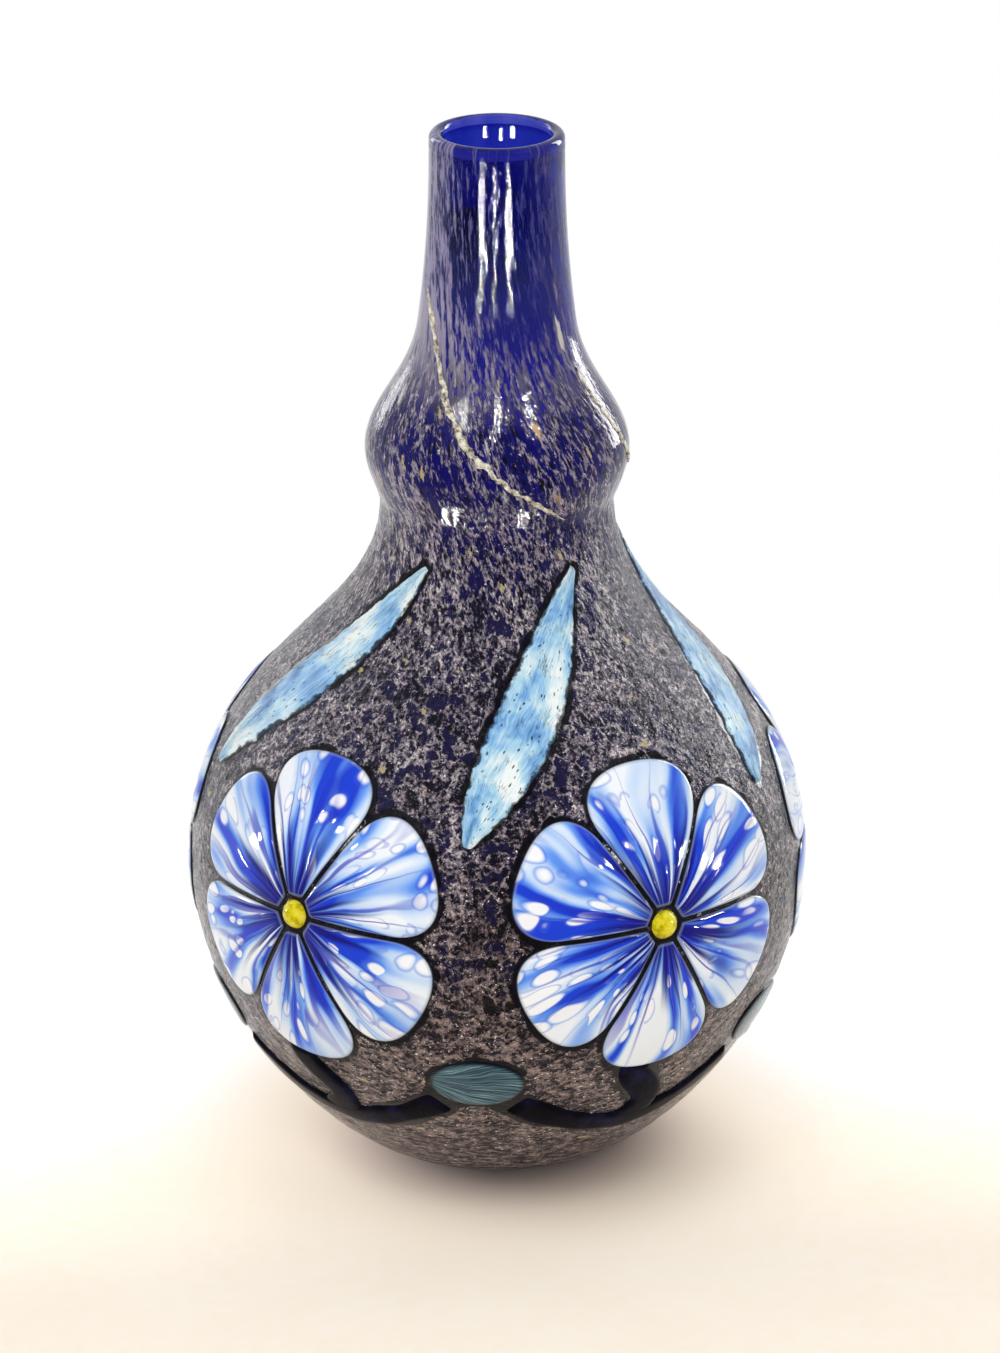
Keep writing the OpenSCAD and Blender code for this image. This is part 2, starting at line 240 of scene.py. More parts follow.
def full_turn(count):
    return np.linspace(0, 2 * math.pi, count, endpoint=False)


def round_points(r, turns, z):
    """Points at radii, turns in radians and heights. Turn 0 is the front, towards the camera."""
    r, turns, z = np.broadcast_arrays(r, turns, z)
    return np.stack([r * np.sin(turns), -r * np.cos(turns), z], -1)


# Mesh helpers

def make_mesh(name, verts, quads, tris=(), attributes=()):
    """A smooth-shaded mesh object. An attribute may cover the first points only, and is 0 at the rest."""
    mesh = bpy.data.meshes.new(name)
    mesh.from_pydata(verts, [], [*np.asarray(quads).tolist(), *np.asarray(tris).tolist()])
    mesh.validate()
    mesh.shade_smooth()
    for key, values in dict(attributes).items():
        filled = np.zeros((len(verts), *values.shape[1:]), np.float32)
        filled[:len(values)] = values
        kind, field = ("FLOAT_VECTOR", "vector") if filled.ndim == 2 else ("FLOAT", "value")
        mesh.attributes.new(key, kind, "POINT").data.foreach_set(field, filled.ravel())
    obj = bpy.data.objects.new(name, mesh)
    bpy.context.scene.collection.objects.link(obj)
    return obj


def make_piece(name, node, glass, *mesh, **attributes):
    """A mesh that stands for one node of the part. The glass is a slot's name, which is not used, and a
    material.
    """
    slot, material = glass
    obj = make_mesh(name, *mesh, attributes=attributes)
    obj.data.materials.append(material)
    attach(obj, "root")
    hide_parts(node)


def grid_quads(rows, cols, wrap_rows=False, wrap_cols=True):
    """Quads of a grid of points, whose rows are closed rings and whose columns may be closed too."""
    i = np.arange(rows if wrap_rows else rows - 1)
    j = np.arange(cols if wrap_cols else cols - 1)
    i, j = np.meshgrid(i, j, indexing="ij")
    i2, j2 = (i + 1) % rows, (j + 1) % cols
    return np.stack([i * cols + j, i * cols + j2, i2 * cols + j2, i2 * cols + j], -1).reshape(-1, 4)


def cone(start, count, hub, flip=False):
    """Triangles from a closed ring of points to one more point."""
    j = np.arange(count)
    a, b = start + j, start + (j + 1) % count
    return np.stack([b, a, np.full(count, hub)] if flip else [a, b, np.full(count, hub)], -1)


def band(first, second, count):
    """Quads from one closed ring of points to another."""
    j = np.arange(count)
    j2 = (j + 1) % count
    return np.stack([first + j, first + j2, second + j2, second + j], -1)


def end_cap(start, count, flip):
    """Triangles that close one end of a tube, whose ring starts at start."""
    fan = np.array([[0, k, k + 1] for k in range(1, count - 1)]) + start
    return fan[:, ::-1] if flip else fan


# Node graph helpers

class Value:
    """A socket that takes part in plain sums. Each step of a sum makes one math node."""

    def __init__(self, graph, socket):
        self.graph, self.socket = graph, socket

    def __add__(self, other):
        return self.graph.math("ADD", self, other)

    def __sub__(self, other):
        return self.graph.math("SUBTRACT", self, other)

    def __rsub__(self, other):
        return self.graph.math("SUBTRACT", other, self)

    def __mul__(self, other):
        return self.graph.math("MULTIPLY", self, other)

    def __abs__(self):
        return self.graph.math("ABSOLUTE", self)


class Graph:
    """Builds the nodes of a material or a world with short calls. Values pass from call to call."""

    def __init__(self, name, kind="materials"):
        self.name = name
        self.owner = getattr(bpy.data, kind).new(name)
        self.owner.use_nodes = True
        self.tree = self.owner.node_tree
        self.tree.nodes.clear()

    def put(self, socket, value):
        if isinstance(value, Value):
            self.tree.links.new(value.socket, socket)
        else:
            socket.default_value = (*value, 1) if socket.type == "RGBA" else value

    def node(self, kind, inputs, out=0, **settings):
        """Adds a shader node and returns one of its outputs, if it has any."""
        made = self.tree.nodes.new("ShaderNode" + kind)
        for key, value in settings.items():
            setattr(made, key, value)
        for key, value in inputs.items():
            self.put(made.inputs[key], value)
        return Value(self, made.outputs[out]) if made.outputs else None

    def attribute(self, name, part="Fac"):
        return self.node("Attribute", {}, part, attribute_name=name)

    def where(self):
        return self.node("TexCoord", {}, "Object")

    def seen(self):
        """1 for the rays that show a thing, straight, mirrored or through glass, and 0 for the rest."""
        kinds = ("Camera", "Glossy", "Transmission")
        camera, glossy, through = (self.node("LightPath", {}, f"Is {kind} Ray") for kind in kinds)
        return self.math("MAXIMUM", self.math("MAXIMUM", camera, glossy), through)

    def vector(self, kind, a, b, out=0):
        return self.node("VectorMath", {0: a, 1: b}, out, operation=kind)

    def scaled(self, vector, x, y, z):
        return self.vector("MULTIPLY", vector, (x, y, z))

    def length(self, vector):
        return self.vector("LENGTH", vector, (0, 0, 0), "Value")

    def axis(self, vector, name):
        return self.node("SeparateXYZ", {0: vector}, name)

    def channel(self, colour, number):
        return self.node("SeparateColor", {0: colour}, number)

    def warped(self, vector, amount, *pattern):
        """Moves a vector by a noise's colour. The noise's place, scale, detail and roughness follow."""
        centred = self.vector("SUBTRACT", self.noise(*pattern, "Color"), (0.5, 0.5, 0.5))
        step = self.node("VectorMath", {0: centred, "Scale": amount}, operation="SCALE")
        return self.vector("ADD", vector, step)

    def noise(self, vector, scale, detail=2.0, rough=0.5, part="Fac"):
        inputs = {"Vector": vector, "Scale": scale, "Detail": detail, "Roughness": rough}
        return self.node("TexNoise", inputs, part)

    def cells(self, vector, scale, part="Distance", random=1.0):
        inputs = {"Vector": vector, "Scale": scale, "Randomness": random}
        return self.node("TexVoronoi", inputs, part)

    def math(self, kind, a, b=0.0):
        return self.node("Math", {0: a, 1: b}, operation=kind)

    def step(self, value, low, high, to_low=0.0, to_high=1.0):
        inputs = {"Value": value, "From Min": low, "From Max": high, "To Min": to_low, "To Max": to_high}
        return self.node("MapRange", inputs, interpolation_type="SMOOTHSTEP")

    def ramp(self, value, stops):
        """Colours by value. A stop is a place and a colour in screen values of 0 to 255."""
        made = self.node("ValToRGB", {"Fac": value})
        elements = made.socket.node.color_ramp.elements
        while len(elements) < len(stops):
            elements.new(0.5)
        for element, (place, *colour) in zip(elements, stops):
            element.position = place
            element.color = (*srgb(*colour), 1)
        return made

    def mix(self, share, a, b):
        """Colours may be given in screen values of 0 to 255."""
        made = self.tree.nodes.new("ShaderNodeMix")
        made.data_type = "RGBA"
        self.put(made.inputs["Factor"], share)
        for socket, colour in zip([s for s in made.inputs if s.type == "RGBA"], (a, b)):
            self.put(socket, colour if isinstance(colour, Value) else srgb(*colour))
        return Value(self, [s for s in made.outputs if s.type == "RGBA"][0])

    def layers(self, tone, *layers):
        """Lays colours over a tone, one after another, each with its share."""
        for share, colour in layers:
            tone = self.mix(share, tone, colour)
        return tone

    def bump(self, height, distance, strength):
        return self.node("Bump", {"Height": height, "Distance": distance, "Strength": strength})

    def glass(self, colour, roughness, normal, **constants):
        """Ends the material in a Principled shader, and returns its slot's name and itself."""
        inputs = {"Base Color": colour, "Roughness": roughness, "Normal": normal, "IOR": 1.5}
        inputs.update({key.replace("_", " "): value for key, value in constants.items()})
        self.node("OutputMaterial", {"Surface": self.node("BsdfPrincipled", inputs)})
        return self.name, self.owner


def srgb(red, green, blue):
    """A colour given in screen values of 0 to 255, as the linear value that a shader takes."""
    def linear(value):
        value /= 255
        return value / 12.92 if value <= 0.04045 else ((value + 0.055) / 1.055) ** 2.4
    return linear(red), linear(green), linear(blue)


# Places of the ornaments

class Place:
    """The flat frame of an ornament: its outline stands square on the surface at one point."""

    def __init__(self, azimuth, z):
        s, c = math.sin(math.radians(azimuth)), math.cos(math.radians(azimuth))
        st, ct = math.sin(tilt_at(z)), math.cos(tilt_at(z))
        self.right = np.array([c, s, 0])
        self.out = np.array([s * ct, -c * ct, st])
        self.up = np.array([-s * st, c * st, ct])
        self.origin = round_points(radius_at(z), math.radians(azimuth), z)

    def flatten(self, points):
        away = points - self.origin
        return np.stack([away @ self.right, away @ self.up], -1)

    def flat(self, turn, z):
        """A place on the surface, given as a turn in degrees and a height, in the flat frame."""
        return self.flatten(round_points(radius_at(z), np.radians(turn), z))

    def onto(self, flat, lift):
        """Runs flat points along the frame's axis on to the surface, then lifts them off it."""
        base = self.origin + flat[:, :1] * self.right + flat[:, 1:2] * self.up
        low = np.full(len(flat), ONTO_LOW)
        high = np.full(len(flat), ONTO_HIGH)
        for _ in range(ONTO_ROUNDS):
            mid = (low + high) / 2
            p = base + mid[:, None] * self.out
            outside = np.hypot(p[:, 0], p[:, 1]) > radius_at(p[:, 2])
            high = np.where(outside, mid, high)
            low = np.where(outside, low, mid)
        p = base + low[:, None] * self.out
        r = np.hypot(p[:, 0], p[:, 1])
        nr, nz = np.interp(p[:, 2], HGT, OUT_R), np.interp(p[:, 2], HGT, OUT_Z)
        normal = np.stack([p[:, 0] / r * nr, p[:, 1] / r * nr, nz], -1)
        return p + normal * np.asarray(lift)[:, None]


def rosette_azimuth(i):
    return ROSETTE_TURN + STEP * i


def joint_azimuth(i):
    return rosette_azimuth(i) + STEP / 2


def rosette_place(i):
    return Place(rosette_azimuth(i), ROSETTE_Z)


def trail_place(i):
    return Place(rosette_azimuth(i), (TRAIL_LOW_Z + OVAL_Z) / 2)


def oval_place(i):
    return Place(joint_azimuth(i), OVAL_Z)


def leaf_place(i):
    return Place(joint_azimuth(i) + (LEAF_LOW_TURN + LEAF_HIGH_TURN) / 2, (LEAF_LOW_Z + LEAF_HIGH_Z) / 2)


def petal_side(samples=26):
    """Upper half of a petal's outline along +X, from the bead's edge to the tip."""
    def edge(x):
        return x * math.tan(PETAL_HALF) - SEAM / 2 / math.cos(PETAL_HALF)
    start = BEAD_R + SEAM
    bend = ROSETTE_R * PETAL_BEND
    corner = np.array([bend, edge(bend)])
    curve = np.array([
        corner,
        corner + ROSETTE_R * PETAL_SIDE * np.array([math.cos(PETAL_HALF), math.sin(PETAL_HALF)]),
        [ROSETTE_R, ROSETTE_R * PETAL_TIP],
        [ROSETTE_R, 0],
    ])
    straight = np.linspace([start, edge(start)], corner, samples // 2, endpoint=False)
    return np.concatenate([straight, bezier(curve, np.linspace(0, 1, samples))])


def petal_angle(p):
    return 2 * PETAL_HALF * (p + 0.5)


def even(outline, count):
    """A closed outline resampled to evenly spaced points."""
    closed = np.vstack([outline, outline[:1]])
    arc = np.concatenate([[0], np.cumsum(np.linalg.norm(np.diff(closed, axis=0), axis=1))])
    at = np.linspace(0, arc[-1], count, endpoint=False)
    return np.stack([np.interp(at, arc, closed[:, k]) for k in range(2)], -1)


def ellipse(half_w, half_h, count):
    a = full_turn(count)
    return np.stack([half_w * np.cos(a), half_h * np.sin(a)], -1)


def turned(points, angle):
    c, s = math.cos(angle), math.sin(angle)
    return np.stack([points[:, 0] * c - points[:, 1] * s, points[:, 0] * s + points[:, 1] * c], -1)


upper = petal_side()
PETAL_OUTLINE = np.vstack([upper, upper[-2::-1] * [1, -1]])
OVAL_OUTLINE = ellipse(OVAL_W / 2, OVAL_H / 2, 72)


def trail_line(i, place, samples):
    s = np.linspace(-1, 1, samples)
    return place.flat(rosette_azimuth(i) + STEP / 2 * s, TRAIL_LOW_Z + (OVAL_Z - TRAIL_LOW_Z) * s * s)


def stem_line(i, place, samples):
    s = np.linspace(0, 1, samples)
    turn = np.degrees(STEM_W * STEM_BOW * np.sin(2 * math.pi * s) / BELLY_R)
    return place.flat(rosette_azimuth(i) + turn, TRAIL_LOW_Z + (STEM_TOP_Z - TRAIL_LOW_Z) * s)


def leaf_line(i, place, samples):
    s = np.linspace(0, 1, samples)
    turn = LEAF_LOW_TURN + (LEAF_HIGH_TURN - LEAF_LOW_TURN) * s * s + LEAF_BOW * np.sin(math.pi * s)
    return place.flat(joint_azimuth(i) + turn, LEAF_LOW_Z + (LEAF_HIGH_Z - LEAF_LOW_Z) * s)


def leaf_halves(samples):
    s = np.linspace(0, 1, samples)
    return LEAF_W / 2 * (LEAF_TIP + (1 - LEAF_TIP) * np.sin(math.pi * s ** LEAF_SKEW))


def ribbon_sides(line):
    along = np.gradient(line, axis=0)
    along /= np.linalg.norm(along, axis=1)[:, None]
    return np.stack([-along[:, 1], along[:, 0]], -1)


def ribbon_outline(line, halves):
    side = ribbon_sides(line)
    halves = np.broadcast_to(halves, len(line))[:, None]
    return np.vstack([line + side * halves, (line - side * halves)[::-1]])


# Camera, light, floor and world

def make_camera():
    data = bpy.data.cameras.new("camera")
    data.sensor_width = SENSOR
    data.lens = FOCAL_PX * SENSOR / FRAME_H
    data.clip_start, data.clip_end = 0.1, 20
    cam = bpy.data.objects.new("camera", data)
    reach = math.hypot(CAMERA_AWAY, CAMERA_Z - VASE_H / 2)
    cam.location = ((FRAME_W / 2 - AXIS_PX) / FOCAL_PX * reach, -CAMERA_AWAY, CAMERA_Z)
    cam.rotation_euler = (math.radians(90 - CAMERA_PITCH), 0, 0)
    bpy.context.scene.collection.objects.link(cam)
    bpy.context.scene.camera = cam


def make_lamp(name, place, target, width, height, power, shows=True, lights=True):
    """A soft rectangular lamp. It may leave out the reflections, or show in nothing but those."""
    data = bpy.data.lights.new(name, "AREA")
    data.shape = "RECTANGLE"
    data.size, data.size_y = width, height
    data.energy = power
    lamp = bpy.data.objects.new(name, data)
    lamp.location = place
    lamp.rotation_euler = (Vector(target) - Vector(place)).to_track_quat("-Z", "Y").to_euler()
    lamp.visible_camera = False
    lamp.visible_diffuse = lights
    lamp.visible_glossy = shows
    lamp.visible_transmission = shows and lights
    bpy.context.scene.collection.objects.link(lamp)
    return data


def make_glint(name, turn, z, width, away, height, radiance, reach, depth):
    """A small bright lamp that the camera sees mirrored at one place of the glass, and hardly elsewhere."""
    z, width, away, height, depth = (length * MM for length in (z, width, away, height, depth))
    mirror = Vector(round_points(radius_at(z) - depth, math.radians(turn), z))
    seen = (mirror - bpy.context.scene.camera.location).normalized()
    place = mirror + away * seen.reflect(Vector(Place(turn, z).out))
    half = math.radians(reach)
    power = radiance * math.pi * width * height * (1 - half / math.tan(half))
    make_lamp(name, place, mirror, width, height, power, lights=False).spread = 2 * half


def make_lamps():
    middle = (0, 0, 0.12)
    make_lamp("softbox_left", (-0.7, -0.8, 1.3), middle, 0.9, 0.9, 5)
    make_lamp("softbox_right", (0.8, -0.6, 1.2), middle, 0.7, 0.7, 2.5)
    make_lamp("low_fill", (0, -3.2, 0.75), (0, 0, 0.05), 3.2, 1.2, 14.5, shows=False)
    make_lamp("edge_right", (0.9, 0.7, 0.5), middle, 0.3, 0.9, 11, lights=False)
    make_lamp("edge_left", (-0.8, 0.9, 0.6), middle, 0.3, 0.9, 3.5, lights=False)
    for row, (places, *values) in GLINTS.items():
        for k, place in enumerate(places):
            make_glint(f"{row}_{k + 1}", *place, *values)


def make_world():
    """Plain white to look at. Its light on the scene is weaker than that."""
    g = Graph("world", "worlds")
    bpy.context.scene.world = g.owner
    strength = g.step(g.seen(), 0, 1, WORLD_LIGHT, 1)
    background = g.node("Background", {"Color": WHITE, "Strength": strength})
    g.node("OutputWorld", {"Surface": background})


def floor_material():
    """A pale warm sheet with a painted shadow round the vase's foot and a painted glow round that, which
    turns to plain white behind the vase.
    """
    g = Graph("floor_sheet")
    where, seen = g.where(), g.seen()
    y = g.axis(where, "Y")
    near = y + g.axis(where, "X") * -0.12
    grain = g.noise(where, 240, 3, 0.6) + g.noise(where, 30) * 0.5
    warm = g.mix(g.step(grain, 0.45, 1.05), (248, 236, 218), (252, 242, 227))
    tone = g.mix(g.step(near, -0.03, 0.04), warm, (250.46, 249.89, 248.15))
    apart = g.length(where)
    # Painted contact shadow: the sheet's colour warmer and darker in a ring round the vase's foot
    close = g.mix(g.step(apart, 0.034, 0.056), (230, 211, 199), (248, 234, 216))
    tone = g.mix(g.step(apart, 0.05, 0.1), close, tone)
    sheet = g.node("BsdfPrincipled", {"Base Color": tone, "Roughness": 0.8, "Specular IOR Level": 0.1})
    # A faint glow, none right under the vase, brings the sheet to the photo's brightness
    shade = g.length(g.vector("ADD", where, (-0.014, 0.02, 0)))
    lift = g.step(near, -0.1, 0.0, 0.17, 0.5) * g.step(shade, 0.015, 0.064) * seen
    glow = g.node("Emission", {"Color": tone, "Strength": lift})
    lit = g.node("AddShader", {0: sheet, 1: glow})
    white = g.node("Emission", {"Color": WHITE, "Strength": 1.0})
    both = g.node("MixShader", {0: g.step(y, 0.1, 0.45) * seen, 1: lit, 2: white})
    g.node("OutputMaterial", {"Surface": both})
    return g.owner


def make_floor(side=8.0):
    x, y = np.meshgrid([-side / 2, 0, side / 2], [-side / 2, 0, side / 2], indexing="ij")
    verts = np.stack([x.ravel(), y.ravel(), np.zeros(x.size)], -1)
    floor = make_mesh("floor", verts, grid_quads(3, 3, wrap_cols=False)[:, ::-1])
    floor.data.materials.append(floor_material())


# Materials. Heights up the vase run from 0 at the foot to 1 at the lip.

def frit_places(g):
    """The places of the frit's grain at rest, plain and warped."""
    rest = g.attribute("frit", "Vector")
    return rest, g.warped(rest, 0.0016, rest, 420, 2, 0.6)


def neck_streaks(g, bent, up, side):
    """Streaks of frit drawn up the neck: how much they cover a point, and their colour."""
    long = g.noise(g.scaled(bent, 1, 1, 0.7), 310, 4, 0.7)
    short = g.noise(g.scaled(bent, 1, 1, 1.2), 560, 3, 0.6)
    # Dense on one side, clear in front, dense but dark at the other side
    far = g.step(side, -0.45, -0.85) * g.step(side, -1.6, -1.1)
    dense = g.math("MAXIMUM", g.step(side, -0.3, 0.7), far * 0.4)
    dense = dense * 0.09 - g.step(side, -1.1, -1.6, 0, 0.2)
    dense += g.step(side, 0.35, 0.9) * g.step(up, 0.78, 0.86, 0, 0.06)
    over = long * 0.65 + short * 0.35 - (g.step(up, 0.7, 0.88, 0.36, 0.56) - dense)
    pale = g.step(side, -0.5, 0.6) + g.step(up, 0.86, 0.76, 0, 0.7)
    dim = g.mix(pale, (8, 6, 58), (56, 50, 92))
    light = g.mix(g.step(up, 0.76, 0.88), (184, 178, 192), (142, 136, 170))
    bright = g.mix(pale, (80, 74, 134), light)
    return g.step(over, -0.02, 0.05), g.mix(g.step(over, 0, 0.11), dim, bright)


def cobalt_material():
    """Clear deep blue glass with faint cords in it. The frit's streaks run out over its lip."""
    g = Graph("cobalt_glass")
    coat = g.attribute("coat")
    drawn = g.scaled(g.where(), 1, 1, 0.2)
    cords = g.noise(drawn, 160, 3, 0.55)
    tone = g.mix(g.step(cords, 0.35, 0.7), (72, 86, 186), (108, 122, 206))
    veil, ribbon = neck_streaks(g, frit_places(g)[1], g.attribute("high"), g.attribute("side"))
    veil *= coat
    tone = g.mix(coat * 0.8, tone, (38, 36, 182))
    tone = g.mix(veil, tone, ribbon)
    clear = (1 - veil) * g.step(coat, 0, 1, 1, 0.75)
    waves = g.noise(drawn, 110)
    return g.glass(tone, g.step(cords, 0.3, 0.7, 0.015, 0.04), g.bump(waves, 0.0002, 0.5),
                   Transmission_Weight=clear, Specular_Tint=SHINE)


def skin_material():
    """A grey web of frit round blobs of indigo glass, drawn out to streaks up the neck."""
    g = Graph("speckled_glass")
    rest, bent = frit_places(g)
    up, side, near = g.attribute("high"), g.attribute("side"), g.attribute("halo")
    patch = g.noise(rest, 55, 3, 0.6)
    loops = g.noise(bent, 190, 4, 0.62)
    curls = g.noise(bent, 430, 3, 0.6)
    grit = g.noise(bent, 820, 3, 0.75)
    gate = g.noise(rest, 150)
    # Curled lines of frit, thick in places and missing in others
    line = g.step(abs(loops - 0.5), 0.085, 0.005)
    curl = g.step(abs(curls - 0.5), 0.07, 0.01)
    amount = (line * 0.42 + curl * 0.26) * g.step(up, 0.14, 0.34, 0.5, 1)
    amount += (grit - 0.5) * g.step(up, 0.5, 0.66, 1.8, 1.6)
    amount += (patch - 0.5) * g.step(up, 0.14, 0.34, 0.4, 0.8)
    amount += g.step(up, 0.14, 0.32, 0.36, 0.03)
    amount -= g.step(up, 0.6, 0.7, 0, 0.06)
    amount += g.step(side, 0.1, 0.9) * g.step(up, 0.5, 0.62) * 0.1
    low = g.ramp(amount, [(0.14, 11, 8, 14), (0.3, 56, 46, 51), (0.5, 99, 84, 86), (0.74, 134, 116, 113),
                          (0.98, 192, 175, 161)])
    high = g.ramp(amount, [(0.08, 9, 7, 24), (0.26, 50, 44, 68), (0.46, 108, 100, 114), (0.68, 150, 141, 148),
                           (0.9, 208, 199, 194)])
    lavender = g.step(up, 0.58, 0.68, 0, 0.5) * g.step(amount, 0.5, 0.75)
    blue = g.step(up, 0.56, 0.7, 0, 0.55) * g.step(amount, 0.56, 0.26)
    # Blobs of clear indigo between the lines
    blob = g.step(g.noise(bent, 190), 0.54, 0.6) * g.step(amount, 0.6, 0.36)
    blob = blob * g.step(up, 0.2, 0.45, 0.4, 1) * g.step(up, 0.58, 0.68, 0.8, 0.66)
    indigo = g.mix(g.step(up, 0.54, 0.72), (24, 20, 62), (8, 4, 98))
    # Pale ridges with painted light and dark hollows with painted shade, low on the globe
    coarse = g.noise(bent, 400, 3, 0.65)
    near_foot = g.step(up, 0.38, 0.22)
    ridge_painted_light = g.step(coarse, 0.55, 0.61) * near_foot
    hollow_painted_shade = g.step(coarse, 0.475, 0.43) * near_foot
    # Black pits darkened with painted shade, tiny bright specks of painted glints, and a few ochre flecks
    # Painted shade: the pits are coloured near black
    pit = g.step(g.cells(bent, 430), 0.36, 0.22) * g.step(gate, 0.42, 0.54)
    glint_grain = g.noise(bent, 1200, 2, 0.7) - g.step(up, 0.52, 0.62, 0, 0.02)
    # Painted glints: tiny near-white specks where the frit would sparkle under the lamps
    painted_glint = g.step(glint_grain, 0.635, 0.67) * g.step(gate, 0.64, 0.5) * g.step(amount, 0.1, 0.4)
    fleck_at = g.warped(bent, 0.003, rest, 900, 2, 0.6)
    chance = g.channel(g.cells(fleck_at, 330, "Color"), 1)
    fleck = g.step(g.cells(fleck_at, 330), 0.42, 0.28) * g.step(chance, 0.978, 0.986)
    # Black glass round the ornaments, wider in some places
    halo = near + (gate - 0.5) * 1.5 + (grit - 0.5) * 0.8
    halo = g.step(halo, 0.72, 0.88) * g.step(near, 0, 0.1)
    # Up the neck only streaks of frit are left on clear blue glass
    veil, ribbon = neck_streaks(g, bent, up, side)
    # Longer tan and cream flecks where the bulb runs into the neck
    dash_at = g.warped(bent, 0.003, rest, 700, 3, 0.65)
    pick = g.cells(dash_at, 105, "Color")
    dash = g.step(g.cells(dash_at, 105), 0.24, 0.15) * g.step(g.channel(pick, 0), 0.7, 0.72)
    dash *= g.step(up, 0.66, 0.7) * g.step(up, 0.9, 0.84)
    pale_dash = g.mix(g.step(g.channel(pick, 1), 0.4, 0.6), (202, 172, 128), (208, 206, 200))
    clear = (1 - veil) * g.step(up, 0.66, 0.78) * (1 - dash)
    cobalt = g.mix(g.step(up, 0.8, 0.92), (58, 58, 214), (98, 110, 204))
    ground = g.mix(g.step(up + patch * 0.4, 0.4, 0.72), low, high)
    tone = g.layers(
        ground, (lavender, (120, 112, 148)), (blue, (16, 15, 104)), (blob, indigo),
        (ridge_painted_light * 0.5, (158, 138, 132)), (hollow_painted_shade * 0.9, (10, 8, 12)), (pit * 0.96, (5, 4, 10)),
        (painted_glint * 0.9, (246, 242, 240)), (fleck * 0.75, (196, 180, 128)), (halo * 0.97, (5, 4, 13)),
        (g.step(up, 0.74, 0.86), ribbon), (dash * 0.85, pale_dash), (clear, cobalt))
    clear *= g.step(up, 0.8, 0.94, 0.78, 1)
    rough = g.step(halo, 0.1, 0.8, 0.12, 0.05) * g.step(up, 0.6, 0.66, 1, 0.3)
    # Grainy on the globe, smooth with ripples and dents above the waist
    height = amount * 0.35 + g.noise(bent, 400, 1, 0.5) - pit * 0.5
    height *= g.step(up, 0.6, 0.67, 1, 0)
    height *= g.step(halo, 0.2, 0.9, 1, 0.12)
    height += g.noise(g.scaled(rest, 1, 1, 1.1), 250, 1, 0.5) * g.step(up, 0.6, 0.8, 0, 0.2)
    deep = g.step(up, 0.56, 0.66, 0, 0.24) - g.step(up, 0.76, 0.84, 0, 0.12)
    height += g.noise(g.scaled(rest, 1, 1, 2.2), 480) * deep
    return g.glass(tone, rough, g.bump(height, 0.0006, 0.9), Transmission_Weight=clear, Specular_Tint=SHINE)


def petal_material():
    """Milky white cells on blue washes that run out from the bead and fan to the rim."""
    g = Graph("petal_glass")
    polar, edge = g.attribute("polar", "Vector"), g.attribute("edge")
    out = g.axis(polar, "X")
    bent = g.warped(polar, 0.85, g.scaled(polar, 1.1, 0.8, 1), 1.2, 1, 0.4)
    bent = g.warped(bent, 0.06, g.scaled(polar, 5, 3.4, 1), 1, 1, 0.4)
    # Broad blue washes along the petal
    wash = g.noise(g.scaled(bent, 0.8, 1.7, 1), 1.5, 1, 0.4) + g.step(out, 0.3, 1, 0.05, -0.05)
    sky = g.ramp(wash, [(0.36, 242, 248, 255), (0.46, 196, 221, 253), (0.55, 102, 156, 246),
                        (0.64, 24, 64, 216)])
    # Milky cells, larger towards the rim
    cell_at = g.scaled(bent, 5.4, 3.8, 1)
    core = g.cells(cell_at, 1, random=0.7)
    kind = g.channel(g.cells(cell_at, 1, "Color", 0.7), 0)
    lit = g.step(kind, 0.3, 0.36) * g.step(out + kind, 0.95, 1.25)
    ring = g.step(core, 0.38, 0.44) * g.step(core, 0.52, 0.46) * lit
    milky = g.step(core, 0.43, 0.3) * lit
    # Thin dark veins that gather at the bead
    lines = g.noise(g.scaled(bent, 0.4, 2.6, 1), 1, 1, 0.4)
    thin = g.step(abs(lines - 0.5) - g.step(out, 0.15, 1, 0.03, 0.005), 0.022, -0.004)
    thin *= g.step(out, 1, 0.5, 0.3, 1)
    rays = g.noise(g.scaled(bent, 0.4, 5, 1), 1, 1, 0.5)
    throat = g.step(out + (rays - 0.5) * 1.4, 0.52, 0.12)
    # The last two are a grey-green clear rim and the dark line round it
    tone = g.layers(
        sky, (ring * 0.4, (56, 94, 224)), (milky * 0.95, (251, 252, 255)), (thin * 0.8, (26, 46, 196)),
        (throat, (10, 12, 128)), (g.step(edge, 0.93, 0.965) * 0.4, (140, 156, 170)),
        (g.step(edge, 0.966, 0.99), (20, 24, 38)))
    ripple = thin * -0.2 + g.noise(g.scaled(bent, 3, 2.2, 1), 1, 1, 0.5)
    return g.glass(tone, g.step(wash, 0.3, 0.7, 0.03, 0.06), g.bump(ripple, 0.0008, 0.6),
                   Specular_Tint=SOFT_SHINE)


# Glasses with one cloudy pattern in colour, roughness and surface: its scale, detail and grain, the
# colours, the roughness from end to end, the depth and strength of the bumps, and the shine
CLOUDED = {
    "bead_glass": (420, 3, 0.6, [(0.3, 150, 140, 10), (0.5, 226, 210, 20), (0.7, 246, 236, 90)],
                   (0.05, 0.12), (0.0002, 0.4), {"Specular_Tint": SOFT_SHINE}),
    "dark_glass": (120, 4, 0.6, [(0.35, 6, 5, 10), (0.52, 12, 11, 24), (0.72, 28, 28, 60)],
                   (0.04, 0.1), (0.0006, 0.35), {"Specular_IOR_Level": 0.02}),
    "ivory_glass": (620, 4, 0.65,
                    [(0.34, 60, 54, 66), (0.45, 172, 164, 144), (0.56, 222, 216, 196), (0.7, 246, 244, 232)],
                    (0.08, 0.2), (0.0004, 0.6), {"Specular_Tint": SOFT_SHINE}),
}


def clouded_material(name):
    g = Graph(name)
    scale, detail, grain, stops, roughness, bumps, shine = CLOUDED[name]
    cloud = g.noise(g.where(), scale, detail, grain)
    return g.glass(g.ramp(cloud, stops), g.step(cloud, 0.3, 0.7, *roughness), g.bump(cloud, *bumps), **shine)


